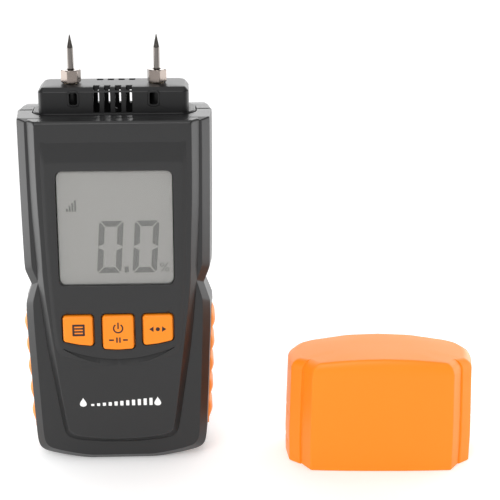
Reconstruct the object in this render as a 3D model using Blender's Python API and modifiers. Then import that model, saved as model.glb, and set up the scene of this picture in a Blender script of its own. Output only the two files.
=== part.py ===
"""Two-pin handheld moisture meter with its pull-off cap standing beside it.

Frame: metres, +Z up along the meter towards its pins, the display faces -Y, +X is to the
right of someone who reads it.  The origin is the middle of the meter's footprint.
"""
import math

import bmesh
import bpy
from mathutils import Euler, Matrix, Vector

MM = 0.001
GAP = 0.3                    # clearance that touching pieces keep

# ---- driving dimensions, in millimetres ----
SHOULDER_Z = 128.2           # top of the case, where the cap's rim would seat
SEAM_Y = 3.25                # plane where the two case halves meet, and where the pins stand
ZONE_Y = -17.5               # raised zone round the display and the keys
PANEL_Y = -16.75             # raised front panel
LEDGE_Y = -13.25             # ledge round that panel
EDGE_Y = -10.25              # outer edge of the bevel round the ledge
BACK_Y = 16.75               # flat back
CASE_HALF_X = 34.1           # half width of the case at its widest
FRONT_WALL = 2.6             # side walls, thick enough to hold the grip recesses
PANEL_BACK_Y = -14.9         # inside face of the front panel

HEAD_HALF_X = 26.1
HEAD_HALF_Y = 8.75
HEAD_TOP_Z = 137.7
HEAD_WALL = 1.5
PIN_X = 15.0
PIN_TIP_Z = 154.7
PIN_R = 1.1
PIN_POINT = 4.6              # length of the tapered tip
NUT_BOTTOM_Z = 138.0
NUT_TOP_Z = 142.5
NUT_ACROSS_FLATS = 6.2
NUT_TURN_DEG = {"left": 12.0, "right": -17.0}
SLOT_PITCH = 3.77
SLOT_WIDTH = 2.06

LCD_BOTTOM_Z = 69.8
LCD_TOP_Z = 110.7
LCD_HALF_X = 19.9

KEY_TOP_Z = 58.6
KEY_FACE_Y = -18.6

GRIP_BOTTOM_Z = 10.5
GRIP_TOP_Z = 57.0
GRIP_RIB_Z = [16.1, 24.9, 33.6, 42.2, 51.0]
GRIP_FRONT_Y = -5.0
GRIP_BACK_Y = 9.0

DOOR_HALF_X = 14.5
DOOR_BOTTOM_Z = 9.5
DOOR_TOP_Z = 61.0
DOOR_WALL = 1.6
CELL_R = 5.25
CELL_BOTTOM_Z = 14.6
CELL_LENGTH = 42.0
CELL_X = 5.75
CELL_Y = 8.9

CAP_X = 94.6
CAP_FRONT_Y = -26.75
CAP_DEPTH = 33.5
CAP_HALF_X = 34.1
CAP_HEIGHT = 43.0
CAP_EDGE_Z = 36.5            # where the walls start to round over into the top
CAP_WALL = 1.8
CAP_TURN_DEG = -2.5          # the loose cap stands turned a little towards the reader


ALONG_Y = (math.radians(-90), 0.0, 0.0)     # turns a piece's own +Z axis to +Y
AGAINST_Y = (math.radians(90), 0.0, 0.0)    # turns it to -Y

# ---- collections and materials ----
for old in list(bpy.data.objects):
    bpy.data.objects.remove(old, do_unlink=True)

PARTS = bpy.data.collections.new("moisture_meter")
CUTTERS = bpy.data.collections.new("cutters")
for collection in (PARTS, CUTTERS):
    bpy.context.scene.collection.children.link(collection)


def material(name, colour, roughness, metallic=0.0, alpha=1.0):
    """Make a Principled material of one plain finish."""
    made = bpy.data.materials.new(name)
    made.use_nodes = True
    shader = made.node_tree.nodes["Principled BSDF"]
    shader.inputs["Base Color"].default_value = (*colour, 1.0)
    shader.inputs["Roughness"].default_value = roughness
    shader.inputs["Metallic"].default_value = metallic
    shader.inputs["Alpha"].default_value = alpha
    return made


CASE = material("case_grey", (0.055, 0.055, 0.057), 0.45)
BLACK = material("head_black", (0.022, 0.022, 0.023), 0.35)
ORANGE = material("orange_plastic", (1.0, 0.30, 0.03), 0.4)
GRIP = material("orange_grip", (1.0, 0.33, 0.06), 0.6)
STEEL = material("steel", (0.62, 0.61, 0.60), 0.25, 1.0)
BRASS = material("brass", (0.80, 0.60, 0.28), 0.3, 1.0)
LENS = material("clear_window", (0.9, 0.92, 0.92), 0.08, 0.0, 0.3)
LCD = material("lcd_grey", (0.36, 0.36, 0.34), 0.3)
BOARD = material("green_board", (0.03, 0.20, 0.09), 0.5)
COPPER = material("copper", (0.85, 0.42, 0.25), 0.35, 1.0)
RUBBER = material("black_rubber", (0.02, 0.02, 0.02), 0.8)
CELL = material("cell_wrap", (0.10, 0.12, 0.16), 0.4)
WHITE = material("white_plastic", (0.75, 0.75, 0.73), 0.5)


# ---- mesh helpers ----
def add_object(name, mesh, look=None, place=None):
    """Put a mesh into the parts collection, or among the cutters when it has no look.

    Without a place, the mesh is centred on its own middle and stands where it was drawn.
    """
    made = bpy.data.objects.new(name, mesh)
    if place is None:
        corners = [[pick(vert.co[i] for vert in mesh.vertices) for i in range(3)]
                   for pick in (min, max)]
        middle = (Vector(corners[0]) + Vector(corners[1])) / 2
        mesh.transform(Matrix.Translation(-middle))
        made.location = middle
    else:
        made.location = Vector(place) * MM
    if look is None:
        CUTTERS.objects.link(made)
        made.hide_render = True
        made.display_type = "WIRE"
    else:
        PARTS.objects.link(made)
        mesh.materials.append(look)
        mesh.shade_smooth()
        mesh.set_sharp_from_angle(angle=math.radians(32))
    return made


def loft(name, rings, look=None):
    """Join rings of equally many points (millimetres) into one closed solid."""
    mesh = bmesh.new()
    rows = [[mesh.verts.new(Vector(point) * MM) for point in ring] for ring in rings]
    count = len(rows[0])
    for low, high in zip(rows, rows[1:]):
        for i in range(count):
            j = (i + 1) % count
            mesh.faces.new((low[i], low[j], high[j], high[i]))
    mesh.faces.new(rows[0][::-1])
    mesh.faces.new(rows[-1])
    bmesh.ops.recalc_face_normals(mesh, faces=mesh.faces)
    data = bpy.data.meshes.new(name)
    mesh.to_mesh(data)
    mesh.free()
    return add_object(name, data, look)


def box(name, low, high, look=None):
    """Make a box between two opposite corners."""
    low, high = Vector(low) * MM, Vector(high) * MM
    mesh = bmesh.new()
    bmesh.ops.create_cube(mesh, size=1.0)
    for vert in mesh.verts:
        for i in range(3):
            vert.co[i] *= abs(high[i] - low[i])
    data = bpy.data.meshes.new(name)
    mesh.to_mesh(data)
    mesh.free()
    return add_object(name, data, look, (low + high) / 2 / MM)


def rounded(points, radii, steps=3):
    """Round the corners of a flat outline; a radius of 0 leaves the corner sharp."""
    outline = []
    count = len(points)
    for i in range(count):
        corner = Vector(points[i])
        before = (Vector(points[i - 1]) - corner).normalized()
        after = (Vector(points[(i + 1) % count]) - corner).normalized()
        radius = radii[i]
        if radius == 0:
            outline.append(tuple(corner))
            continue
        half_angle = before.angle(after) / 2
        reach = radius / math.tan(half_angle)
        centre = corner + (before + after).normalized() * radius / math.sin(half_angle)
        start = corner + before * reach - centre
        end = corner + after * reach - centre
        sweep = start.angle_signed(end)
        for step in range(steps + 1):
            turn = -sweep * step / steps
            outline.append((centre.x + start.x * math.cos(turn) - start.y * math.sin(turn),
                            centre.y + start.x * math.sin(turn) + start.y * math.cos(turn)))
    return outline


def inset(outline, distance):
    """Move every edge of a flat outline inwards by a distance."""
    moved = []
    count = len(outline)
    area = sum(outline[i - 1][0] * outline[i][1] - outline[i][0] * outline[i - 1][1]
               for i in range(count))
    side = 1 if area > 0 else -1
    for i in range(count):
        here = Vector(outline[i])
        back = (here - Vector(outline[i - 1])).normalized()
        ahead = (Vector(outline[(i + 1) % count]) - here).normalized()
        normal_back = Vector((-back.y, back.x)) * side
        normal_ahead = Vector((-ahead.y, ahead.x)) * side
        bisector = (normal_back + normal_ahead).normalized()
        moved.append(tuple(here + bisector * distance / max(0.3, bisector.dot(normal_back))))
    return moved


def rounded_box(name, low, high, radius, axis, look=None, steps=3):
    """Make a box whose four edges along one axis are rounded."""
    spans = [(low[i], high[i]) for i in range(3)]
    flat = [i for i in range(3) if i != axis]
    (u0, u1), (v0, v1) = spans[flat[0]], spans[flat[1]]
    outline = rounded([(u0, v0), (u1, v0), (u1, v1), (u0, v1)], [radius] * 4, steps)
    rings = []
    for level in spans[axis]:
        ring = []
        for u, v in outline:
            point = [0.0, 0.0, 0.0]
            point[flat[0]], point[flat[1]], point[axis] = u, v, level
            ring.append(point)
        rings.append(ring)
    return loft(name, rings, look)


def turned(name, profile, place, look=None, steps=16, tilt=(0.0, 0.0, 0.0), ring=False):
    """Turn a (radius, height) profile about the local Z axis; its outer side runs downwards.

    With ring set the profile closes on itself and the piece has a hole through it.
    """
    data = bpy.data.meshes.new(name)
    points = [(radius * MM, 0.0, height * MM) for radius, height in profile]
    edges = [(i, i + 1) for i in range(len(points) - 1)]
    if ring:
        edges.append((len(points) - 1, 0))
    data.from_pydata(points, edges, [])
    made = add_object(name, data, look, place)
    made.rotation_euler = Euler(tilt)
    screw = made.modifiers.new("turn", "SCREW")
    screw.steps = screw.render_steps = steps
    screw.use_merge_vertices = True
    screw.merge_threshold = 0.00001
    screw.use_smooth_shade = True
    return made


def rod(name, radius, low, high, place, look=None, steps=16, tilt=(0.0, 0.0, 0.0)):
    """Make a plain round bar along its local Z axis."""
    profile = [(0.0, high), (radius, high), (radius, low), (0.0, low)]
    return turned(name, profile, place, look, steps, tilt)


def blind_boss(name, outer, bore, base, floor, mouth, place, steps=12):
    """Make a screw boss along Y from its base to its mouth, bored down to a floor."""
    profile = [(0.0, floor), (bore, floor), (bore, mouth), (outer, mouth), (outer, base), (0.0, base)]
    return turned(name, profile, place, None, steps, ALONG_Y)


def combine(target, other, operation):
    """Cut the other solid from the target, or join it on."""
    step = target.modifiers.new(other.name, "BOOLEAN")
    step.operation = operation
    step.object = other
    step.solver = "EXACT"


def cut(target, *others):
    for other in others:
        combine(target, other, "DIFFERENCE")


def join(target, *others):
    for other in others:
        combine(target, other, "UNION")


def tube(name, points, radius, look):
    """Make a bent wire of round section through a list of points."""
    curve = bpy.data.curves.new(name, "CURVE")
    curve.dimensions = "3D"
    curve.bevel_depth = radius * MM
    curve.bevel_resolution = 2
    curve.use_fill_caps = True
    start = Vector(points[0])
    spline = curve.splines.new("POLY")
    spline.points.add(len(points) - 1)
    for target, point in zip(spline.points, points):
        target.co = (*((Vector(point) - start) * MM), 1.0)
    curve.materials.append(look)
    made = bpy.data.objects.new(name, curve)
    made.location = start * MM
    PARTS.objects.link(made)
    return made


# ---- outlines of the case, seen from the front as (x, z) ----
def mirrored(right_side):
    """Complete an outline whose right half runs from the bottom centre to the top."""
    return right_side + [(-x, z) for x, z in reversed(right_side) if x > 0]


def bottom_arc(half_width, centre_z, end_z, steps=5):
    """Points of the shallow arc under the case, from its centre to the right."""
    return [(half_width * i / steps, centre_z + (end_z - centre_z) * (i / steps) ** 2)
            for i in range(steps + 1)]


FOOT_HALF_X = 12.0           # half width of the flat foot under the case
NOTCH_Z = 66.7               # height of the waist's V
NOTCH_REACH = 16.0           # how far up and down the V leans forward and back
NOTCH_SLOPE = 0.17           # rise of the V for each millimetre towards the front
NOTCH_LEVEL_Y = -2.6         # depth where it stands at its own height


def case_outline():
    """Outer silhouette with the V-shaped waist and the shallow round bottom."""
    arc = [(0.0, 0.0), (FOOT_HALF_X, 0.0), (18.0, 0.75), (23.0, 1.75), (27.3, 2.9)]
    corner = [(29.3, 3.75), (30.8, 5.2), (31.5, 7.6)]
    side = [(32.3, 15.5), (32.9, 29.0), (33.4, 43.0), (33.8, 53.0), (33.6, 60.0), (31.3, NOTCH_Z),
            (33.4, 71.8), (33.8, 78.0), (34.0, 96.0), (CASE_HALF_X, 113.0), (CASE_HALF_X, SHOULDER_Z)]
    return mirrored(arc + corner + side)


PANEL_HALF_X = 29.5          # half width of the raised panel at its foot, up by the shoulder


def panel_outline(outer):
    """Raised front panel: its flat edge, or with outer set the foot of its chamfer."""
    if outer:
        side = [(19.0, 9.6), (20.6, 11.5), (21.3, 15.0), (23.3, 28.5), (26.1, 47.0),
                (28.1, 69.0), (28.8, 84.0), (29.4, 100.0), (PANEL_HALF_X, SHOULDER_Z)]
        return mirrored(bottom_arc(15.5, 7.6, 8.6, 3) + side)
    side = [(17.6, 12.8), (18.9, 14.4), (19.4, 17.0), (21.2, 29.5), (23.3, 48.0),
            (25.8, 69.0), (26.0, 84.0), (26.7, 102.0), (26.7, SHOULDER_Z)]
    return mirrored(bottom_arc(15.0, 10.6, 11.8, 3) + side)


def zone_outline(outer):
    """Raised display and key zone with its arc-shaped lower edge."""
    if outer:
        side = [(22.2, 45.2), (23.0, 50.0), (24.6, 80.0), (25.1, 112.0), (25.1, 121.0)]
        return mirrored(bottom_arc(20.6, 39.5, 43.2, 5) + side)
    side = [(20.9, 47.6), (21.6, 51.0), (23.3, 80.0), (23.7, 110.0), (23.7, 114.1)]
    return mirrored(bottom_arc(19.6, 41.8, 46.0, 5) + side)


def panel_ring(outer, y, distance=0.0, top=SHOULDER_Z):
    """The panel's outline at one depth, drawn in at the sides and from below."""
    share = (PANEL_HALF_X - distance) / PANEL_HALF_X
    return [(x * share, y, top if z == SHOULDER_Z else z + distance)
            for x, z in panel_outline(outer)]


def case_ring(y, distance, lift, top=SHOULDER_Z):
    """The case silhouette at one depth, drawn in at the sides and lifted off the floor."""
    share = (CASE_HALF_X - distance) / CASE_HALF_X
    ring = []
    lean = NOTCH_SLOPE * (NOTCH_LEVEL_Y - min(y, SEAM_Y))
    for x, z in case_outline():
        lifted = z + lift * (1 - z / SHOULDER_Z) + lean * max(0.0, 1 - abs(z - NOTCH_Z) / NOTCH_REACH)
        ring.append((x * share, y, top if z == SHOULDER_Z else lifted))
    return ring


# ---- case halves ----
CAVITY_TOP_Z = SHOULDER_Z - 2.2
FOOT_FRONT_Y = -8.5          # the flat foot runs between these two depths
FOOT_BACK_Y = 10.0
BACK_CURVE_Y = 11.2          # where the sides start to turn in towards the back
BACK_EDGE_Y = 15.3           # where that curve meets the bevel round the flat back
front_shell = loft("front_shell", [case_ring(LEDGE_Y, 3.8, 2.45), case_ring(EDGE_Y, 0.95, 0.4),
                                   case_ring(FOOT_FRONT_Y, 0.8, 0.0),
                                   case_ring(SEAM_Y - GAP / 2, 0.0, 0.0)], CASE)
join(front_shell,
     loft("panel_body", [panel_ring(False, PANEL_Y), panel_ring(True, LEDGE_Y),
                         panel_ring(True, LEDGE_Y + 0.8)]),
     loft("zone_body", [[(x, ZONE_Y, z) for x, z in zone_outline(False)],
                        [(x, PANEL_Y, z) for x, z in zone_outline(True)],
                        [(x, PANEL_Y + 0.6, z) for x, z in zone_outline(True)]]))
cut(front_shell,
    loft("front_cavity", [case_ring(EDGE_Y - 1.0, FRONT_WALL + 0.6, FRONT_WALL + 0.6, CAVITY_TOP_Z),
                          case_ring(0.2, FRONT_WALL, FRONT_WALL, CAVITY_TOP_Z),
                          case_ring(SEAM_Y + 1.0, FRONT_WALL, FRONT_WALL, CAVITY_TOP_Z)]),
    loft("panel_cavity", [panel_ring(False, PANEL_BACK_Y, 1.6, CAVITY_TOP_Z),
                          panel_ring(False, EDGE_Y, 1.2, CAVITY_TOP_Z)]))

rear_shell = loft("rear_shell", [case_ring(SEAM_Y + GAP / 2, 0.0, 0.0),
                                 case_ring(FOOT_BACK_Y, 0.9, 0.0),
                                 case_ring(BACK_CURVE_Y, 1.1, 0.6), case_ring(BACK_EDGE_Y, 2.1, 2.9),
                                 case_ring(BACK_Y, 4.4, 5.2)], CASE)
cut(rear_shell,
    loft("rear_cavity", [case_ring(SEAM_Y - 1.0, FRONT_WALL, FRONT_WALL, CAVITY_TOP_Z),
                         case_ring(BACK_CURVE_Y, FRONT_WALL + 0.8, FRONT_WALL + 0.8, CAVITY_TOP_Z),
                         case_ring(BACK_Y - 2.0, 5.6, 5.6, CAVITY_TOP_Z)]))

# Battery box inside the rear half, open towards the door.
cell_box_low = (-DOOR_HALF_X - 0.6, 1.2, 7.7)
cell_box_high = (DOOR_HALF_X + 0.6, BACK_Y - 0.9, DOOR_TOP_Z + 1.4)
join(rear_shell, box("cell_box", cell_box_low, cell_box_high))
cut(rear_shell,
    box("cell_room", (-DOOR_HALF_X + 1.2, 2.8, DOOR_BOTTOM_Z + 0.2),
        (DOOR_HALF_X - 1.2, BACK_Y + 1.3, DOOR_TOP_Z - 0.2)),
    rounded_box("door_seat", (-DOOR_HALF_X, BACK_Y - DOOR_WALL - GAP, DOOR_BOTTOM_Z),
                (DOOR_HALF_X, BACK_Y + 1, DOOR_TOP_Z), 2.0, 1))

# The stadium-shaped mouth in the shoulder that holds the sensor head.
MOUTH_HALF_X = 28.4
MOUTH_HALF_Y = 9.3


def mouth_outline(grow):
    """Plan outline of the head's round-ended base."""
    half_x, half_y = MOUTH_HALF_X + grow, MOUTH_HALF_Y + grow
    corners = [(-half_x, -half_y), (half_x, -half_y), (half_x, half_y), (-half_x, half_y)]
    return [(x, y + SEAM_Y) for x, y in rounded(corners, [6.5] * 4, 5)]


mouth = loft("head_mouth", [[(x, y, z) for x, y in mouth_outline(GAP)]
                            for z in (SHOULDER_Z - 5.0, SHOULDER_Z + 2.0)])
cut(front_shell, mouth)
cut(rear_shell, mouth)

# Recesses for the grips, across both halves.
GRIP_SLOPE = 0.034           # the sides draw in by this much a millimetre towards the foot
GRIP_RECESS_X = 32.25        # floor of the recess at its top


def grip_floor(z):
    """Distance of the recess floor from the middle at one height."""
    return GRIP_RECESS_X - GRIP_SLOPE * (GRIP_TOP_Z - z)


recess_corners = [(GRIP_FRONT_Y, GRIP_BOTTOM_Z), (GRIP_FRONT_Y, GRIP_TOP_Z),
                  (GRIP_BACK_Y, GRIP_TOP_Z), (GRIP_BACK_Y, GRIP_BOTTOM_Z)]
for side in (-1, 1):
    recess = loft(f"grip_recess_{side}", [[(side * grip_floor(z), y, z) for y, z in recess_corners],
                                          [(side * 36.0, y, z) for y, z in recess_corners]])
    cut(front_shell, recess)
    cut(rear_shell, recess)

# Display opening.
cut(front_shell,
    rounded_box("lcd_opening", (-LCD_HALF_X - GAP, ZONE_Y - 1, LCD_BOTTOM_Z - GAP),
                (LCD_HALF_X + GAP, PANEL_BACK_Y + 1, LCD_TOP_Z + GAP), 2.5, 1))


# ---- keys ----
KEY_LOW_Z = 46.7             # lowest point of the arc that the keys' lower edges follow
KEY_ARC = 0.0061             # rise of that arc, per millimetre squared


def key_outline(left, right, grow=0.0):
    """Front outline of a key whose lower edge follows the arc under the keys."""
    def lower(x):
        drop = 0.9 if left < 0 < right else 0.0
        return KEY_LOW_Z + KEY_ARC * x * x - drop
    middle = (left + right) / 2
    low = [(left, lower(left)), (middle, lower(middle) - 0.15), (right, lower(right))]
    outline = rounded(low + [(right, KEY_TOP_Z), (left, KEY_TOP_Z)], [1.0, 0, 1.0, 1.0, 1.0], 3)
    return inset(outline, -grow) if grow else outline


KEYS = {"mode": (-19.4, -8.9), "power": (-5.5, 5.5), "set": (8.8, 19.3)}
BOARD_FRONT_Y = -8.5
BOARD_BACK_Y = -6.9
SWITCH_Z = 52.0
for label, (left, right) in KEYS.items():
    middle = (left + right) / 2
    hole = loft(f"key_hole_{label}", [[(x, y, z) for x, z in key_outline(left, right, GAP)]
                                      for y in (ZONE_Y - 1, PANEL_BACK_Y + 1)])
    cut(front_shell, hole)
    rim = inset(key_outline(left, right), 0.5)
    key = loft(f"key_{label}", [[(x, KEY_FACE_Y, z) for x, z in rim],
                                [(x, KEY_FACE_Y + 0.45, z) for x, z in key_outline(left, right)],
                                [(x, PANEL_BACK_Y + 1, z) for x, z in key_outline(left, right)]],
               ORANGE)
    flange = loft(f"key_flange_{label}", [
        [(x, y, z) for x, z in key_outline(left, right, 0.9)]
        for y in (PANEL_BACK_Y + GAP, PANEL_BACK_Y + 1.2)])
    join(key, flange)
    place = (middle, BOARD_FRONT_Y, SWITCH_Z)
    switch = box(f"tact_switch_{label}", (middle - 3.0, BOARD_FRONT_Y - 3.4, SWITCH_Z - 3.0),
                 (middle + 3.0, BOARD_FRONT_Y - 0.05, SWITCH_Z + 3.0), BLACK)
    cut(switch, rod(f"plunger_hole_{label}", 2.0, 1.2, 5.0, place, None, 16, AGAINST_Y))
    rod(f"plunger_{label}", 1.7, 2.1, 4.9, place, RUBBER, 16, AGAINST_Y)

# ---- display ----
rounded_box("lcd_window", (-LCD_HALF_X, ZONE_Y + 0.1, LCD_BOTTOM_Z),
            (LCD_HALF_X, ZONE_Y + 1.2, LCD_TOP_Z), 2.2, 1, LENS)
rounded_box("lcd_glass", (-LCD_HALF_X, ZONE_Y + 1.5, LCD_BOTTOM_Z),
            (LCD_HALF_X, ZONE_Y + 3.6, LCD_TOP_Z), 2.2, 1, LCD)
lcd_frame = box("lcd_frame", (-19.2, -13.6, 67.0), (19.2, -11.0, 113.4), WHITE)
cut(lcd_frame, box("lcd_frame_window", (-17.0, -15, 72.5), (17.0, -10, 108.5)))
box("lcd_connector", (-17.5, BOARD_FRONT_Y - 2.2, 67.2), (17.5, BOARD_FRONT_Y - 0.05, 70.2), RUBBER)

# ---- circuit board and what it carries ----
main_board = box("main_board", (-24.5, BOARD_FRONT_Y, 34.0), (24.5, BOARD_BACK_Y, 116.0), BOARD)
rounded_box("chip_cover", (-6.0, BOARD_BACK_Y + 0.05, 86.0), (6.0, BOARD_BACK_Y + 1.6, 98.0),
            3.0, 1, BLACK, 4)
rod("buzzer", 6.0, 0.05, 2.6, (-15.0, BOARD_BACK_Y, 76.0), BLACK, 20, ALONG_Y)
BOARD_SCREW_X = 22.2
BOARD_SCREW_Z = 113.6
for side, tag in ((-1, "left"), (1, "right")):
    place = (side * BOARD_SCREW_X, 0.0, BOARD_SCREW_Z)
    cut(main_board, rod(f"board_hole_{tag}", 1.3, -10.0, -6.0, place, None, 12, ALONG_Y))
    join(front_shell, blind_boss(f"board_boss_{tag}", 2.4, 1.15, PANEL_BACK_Y - 0.5, -13.6,
                                 BOARD_FRONT_Y - GAP, place))
    turned(f"board_screw_{tag}", [(0, -4.9), (1.6, -5.2), (1.9, -6.6), (0.85, -6.6), (0.85, -13.0),
                                  (0, -13.2)], place, STEEL, 12, ALONG_Y)

# ---- case screws ----
CASE_SCREWS = {"top_left": (-26.6, 119.1), "top_right": (26.6, 119.1),
               "bottom_left": (-22.5, 11.0), "bottom_right": (22.5, 11.0)}
SCREW_SEAT_Y = 9.6
for tag, (x, z) in CASE_SCREWS.items():
    place = (x, 0.0, z)
    join(front_shell, blind_boss(f"front_boss_{tag}", 2.7, 1.3, EDGE_Y - 1.4, -8.5,
                                 SEAM_Y - 1.5 * GAP, place))
    low, high = SEAM_Y + 1.5 * GAP, BACK_Y - 1.55
    join(rear_shell, turned(f"rear_boss_{tag}", [(3.6, high), (3.6, low), (1.3, low),
                                                 (1.3, SCREW_SEAT_Y), (2.7, SCREW_SEAT_Y), (2.7, high)],
                            place, None, 12, ALONG_Y, True))
    cut(rear_shell, rod(f"screw_hole_{tag}", 2.4, high - 1.0, BACK_Y + 1, place, None, 12, ALONG_Y))
    screw = turned(f"case_screw_{tag}", [(0, 12.0), (1.5, 11.9), (2.05, 11.1), (2.05, 9.95),
                                         (1.0, 9.95), (1.0, -7.2), (0, -8.0)],
                   place, STEEL, 12, ALONG_Y)
    cut(screw, box(f"drive_a_{tag}", (x - 1.1, 11.2, z - 0.25), (x + 1.1, 12.5, z + 0.25)),
        box(f"drive_b_{tag}", (x - 0.25, 11.2, z - 1.1), (x + 0.25, 12.5, z + 1.1)))


# ---- sensor head ----
def head_outline(grow, rear_radius=4.0, front_radius=2.3, steps=3):
    half_x, half_y = HEAD_HALF_X + grow, HEAD_HALF_Y + grow
    corners = [(-half_x, -half_y), (half_x, -half_y), (half_x, half_y), (-half_x, half_y)]
    radii = [front_radius + grow, front_radius + grow, rear_radius + grow, rear_radius + grow]
    return [(x, y + SEAM_Y) for x, y in rounded(corners, radii, steps)]


def plan_ring(outline, z):
    return [(x, y, z) for x, y in outline]


sensor_head = loft("sensor_head", [plan_ring(head_outline(0.0), SHOULDER_Z - 1.5),
                                   plan_ring(head_outline(0.0), HEAD_TOP_Z - 1.6),
                                   plan_ring(head_outline(-1.45), HEAD_TOP_Z - 0.15),
                                   plan_ring(head_outline(-1.9), HEAD_TOP_Z)], BLACK)
join(sensor_head,
     loft("head_base", [plan_ring(mouth_outline(0.0), SHOULDER_Z - 5.0),
                        plan_ring(mouth_outline(0.0), SHOULDER_Z + 0.1),
                        plan_ring(mouth_outline(-0.4), SHOULDER_Z + 0.5)]))
cut(sensor_head,
    loft("head_room", [plan_ring(head_outline(-HEAD_WALL, 2.2, 1.8), SHOULDER_Z - 6.0),
                       plan_ring(head_outline(-HEAD_WALL, 2.2, 1.8), HEAD_TOP_Z - 1.6)]))
POST_BOTTOM_Z = 127.0
for side, tag in ((-1, "left"), (1, "right")):
    spot = (side * PIN_X, SEAM_Y, 0.0)
    join(sensor_head, rod(f"post_boss_{tag}", 4.2, POST_BOTTOM_Z + 1.0, HEAD_TOP_Z - 1.0, spot))
    cut(sensor_head, rod(f"post_bore_{tag}", 2.8, POST_BOTTOM_Z - 1.0, HEAD_TOP_Z + 1, spot))
    pocket_x = side * (PIN_X - 1.1)
    cut(sensor_head,
        rounded_box(f"pocket_{tag}", (pocket_x - 1.4, SEAM_Y - HEAD_HALF_Y - 1.0, 131.6),
                    (pocket_x + 1.4, SEAM_Y - HEAD_HALF_Y + 2.0, HEAD_TOP_Z - 1.75), 0.7, 1))

# Four slots in the front and back walls, each turning over the edge into the top.
SLOT_MIDDLE_X = -0.25
SLOT_EDGE_Z = HEAD_TOP_Z - 1.75
REAR_SLOT_SHIFT = 0.7        # the rear row stands this much to the right
for i in range(4):
    for face, tag, shift in ((-1, "front", 0.0), (1, "rear", REAR_SLOT_SHIFT)):
        x = SLOT_MIDDLE_X + (i - 1.5) * SLOT_PITCH + shift
        left, right = x - SLOT_WIDTH / 2, x + SLOT_WIDTH / 2
        outside = SEAM_Y + face * (HEAD_HALF_Y + 1.0)
        past_wall = SEAM_Y + face * (HEAD_HALF_Y - 2.0)
        top_near = SEAM_Y + face * (HEAD_HALF_Y - 0.8)
        top_far = SEAM_Y + face * (HEAD_HALF_Y - 4.0)
        cut(sensor_head,
            box(f"slot_{tag}_{i}", (left, outside, SHOULDER_Z + 0.7), (right, past_wall, SLOT_EDGE_Z)),
            box(f"slot_top_{tag}_{i}", (left, top_near, SLOT_EDGE_Z - 0.15),
                (right, top_far, HEAD_TOP_Z + 1)))

for side, tag in ((-1, "left"), (1, "right")):
    spot = (side * PIN_X, SEAM_Y, 0.0)
    turned(f"needle_{tag}", [(0, PIN_TIP_Z), (0.12, PIN_TIP_Z - 0.1), (PIN_R, PIN_TIP_Z - PIN_POINT),
                             (PIN_R, NUT_BOTTOM_Z - 6.0), (0, NUT_BOTTOM_Z - 6.0)],
           spot, STEEL, 16)
    nut = turned(f"hex_nut_{tag}", [(0, NUT_TOP_Z), (NUT_ACROSS_FLATS * 0.5, NUT_TOP_Z),
                                    (NUT_ACROSS_FLATS / math.sqrt(3), NUT_TOP_Z - 0.45),
                                    (NUT_ACROSS_FLATS / math.sqrt(3), NUT_BOTTOM_Z),
                                    (0, NUT_BOTTOM_Z)], spot, STEEL, 6)
    nut.rotation_euler.z = math.radians(NUT_TURN_DEG[tag])
    cut(nut, rod(f"nut_bore_{tag}", PIN_R + GAP, NUT_BOTTOM_Z - 1, NUT_TOP_Z + 1, spot))
    post = turned(f"electrode_post_{tag}", [(0, HEAD_TOP_Z), (2.5, HEAD_TOP_Z), (2.5, POST_BOTTOM_Z),
                                            (0, POST_BOTTOM_Z)], spot, BRASS, 16)
    cut(post, rod(f"post_thread_{tag}", PIN_R + GAP, NUT_BOTTOM_Z - 6.6, HEAD_TOP_Z + 1, spot))
    lead_x = side * PIN_X
    lead = [(lead_x, SEAM_Y, POST_BOTTOM_Z - GAP), (lead_x, SEAM_Y, 124.5),
            (lead_x, SEAM_Y - 0.7, 122.6), (lead_x * 0.98, SEAM_Y - 2.6, 120.4),
            (lead_x * 0.95, SEAM_Y - 5.0, 118.0), (lead_x * 0.9, SEAM_Y - 7.2, 115.2),
            (lead_x * 0.87, SEAM_Y - 8.6, 112.4), (lead_x * 0.86, BOARD_BACK_Y + 1.0, 110.0),
            (lead_x * 0.86, BOARD_BACK_Y + GAP, 109.4)]
    tube(f"electrode_lead_{tag}", lead, 0.6, COPPER)

turned("temperature_sensor", [(0, 129.0), (0.9, 128.6), (1.2, 127.7), (0.9, 126.8), (0.35, 126.4),
                              (0.35, 118.4), (0, 118.4)], (0.0, SEAM_Y, 0.0), BLACK, 10)


# ---- grips ----
RIB_REACH = 3.45             # half the length of one rib
RIB_HEIGHT = 1.25


def grip_bulge(z):
    """How far a grip stands out at one height: five lens-shaped ribs."""
    for middle in GRIP_RIB_Z:
        if abs(z - middle) < RIB_REACH:
            return RIB_HEIGHT * (1 - ((z - middle) / RIB_REACH) ** 2)
    return 0.0


GRIP_MARGIN = 0.3
levels = [GRIP_BOTTOM_Z + GRIP_MARGIN]
for middle in GRIP_RIB_Z:
    levels += [middle + RIB_REACH * t for t in (-1.0, -0.6, 0.0, 0.6, 1.0)]
levels.append(GRIP_TOP_Z - GRIP_MARGIN)
for side, tag in ((-1, "left"), (1, "right")):
    rings = []
    for z in levels:
        floor = grip_floor(z) + GAP
        face = floor + 1.05
        top = face + grip_bulge(z)
        y0, y1 = GRIP_FRONT_Y + GRIP_MARGIN, GRIP_BACK_Y - GRIP_MARGIN
        rings.append([(side * floor, y0, z), (side * face, y0, z), (side * top, y0 + 1.2, z),
                      (side * top, y1 - 1.2, z), (side * (face - 0.1), y1, z), (side * floor, y1, z)])
    loft(f"grip_{tag}", rings, GRIP)

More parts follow.
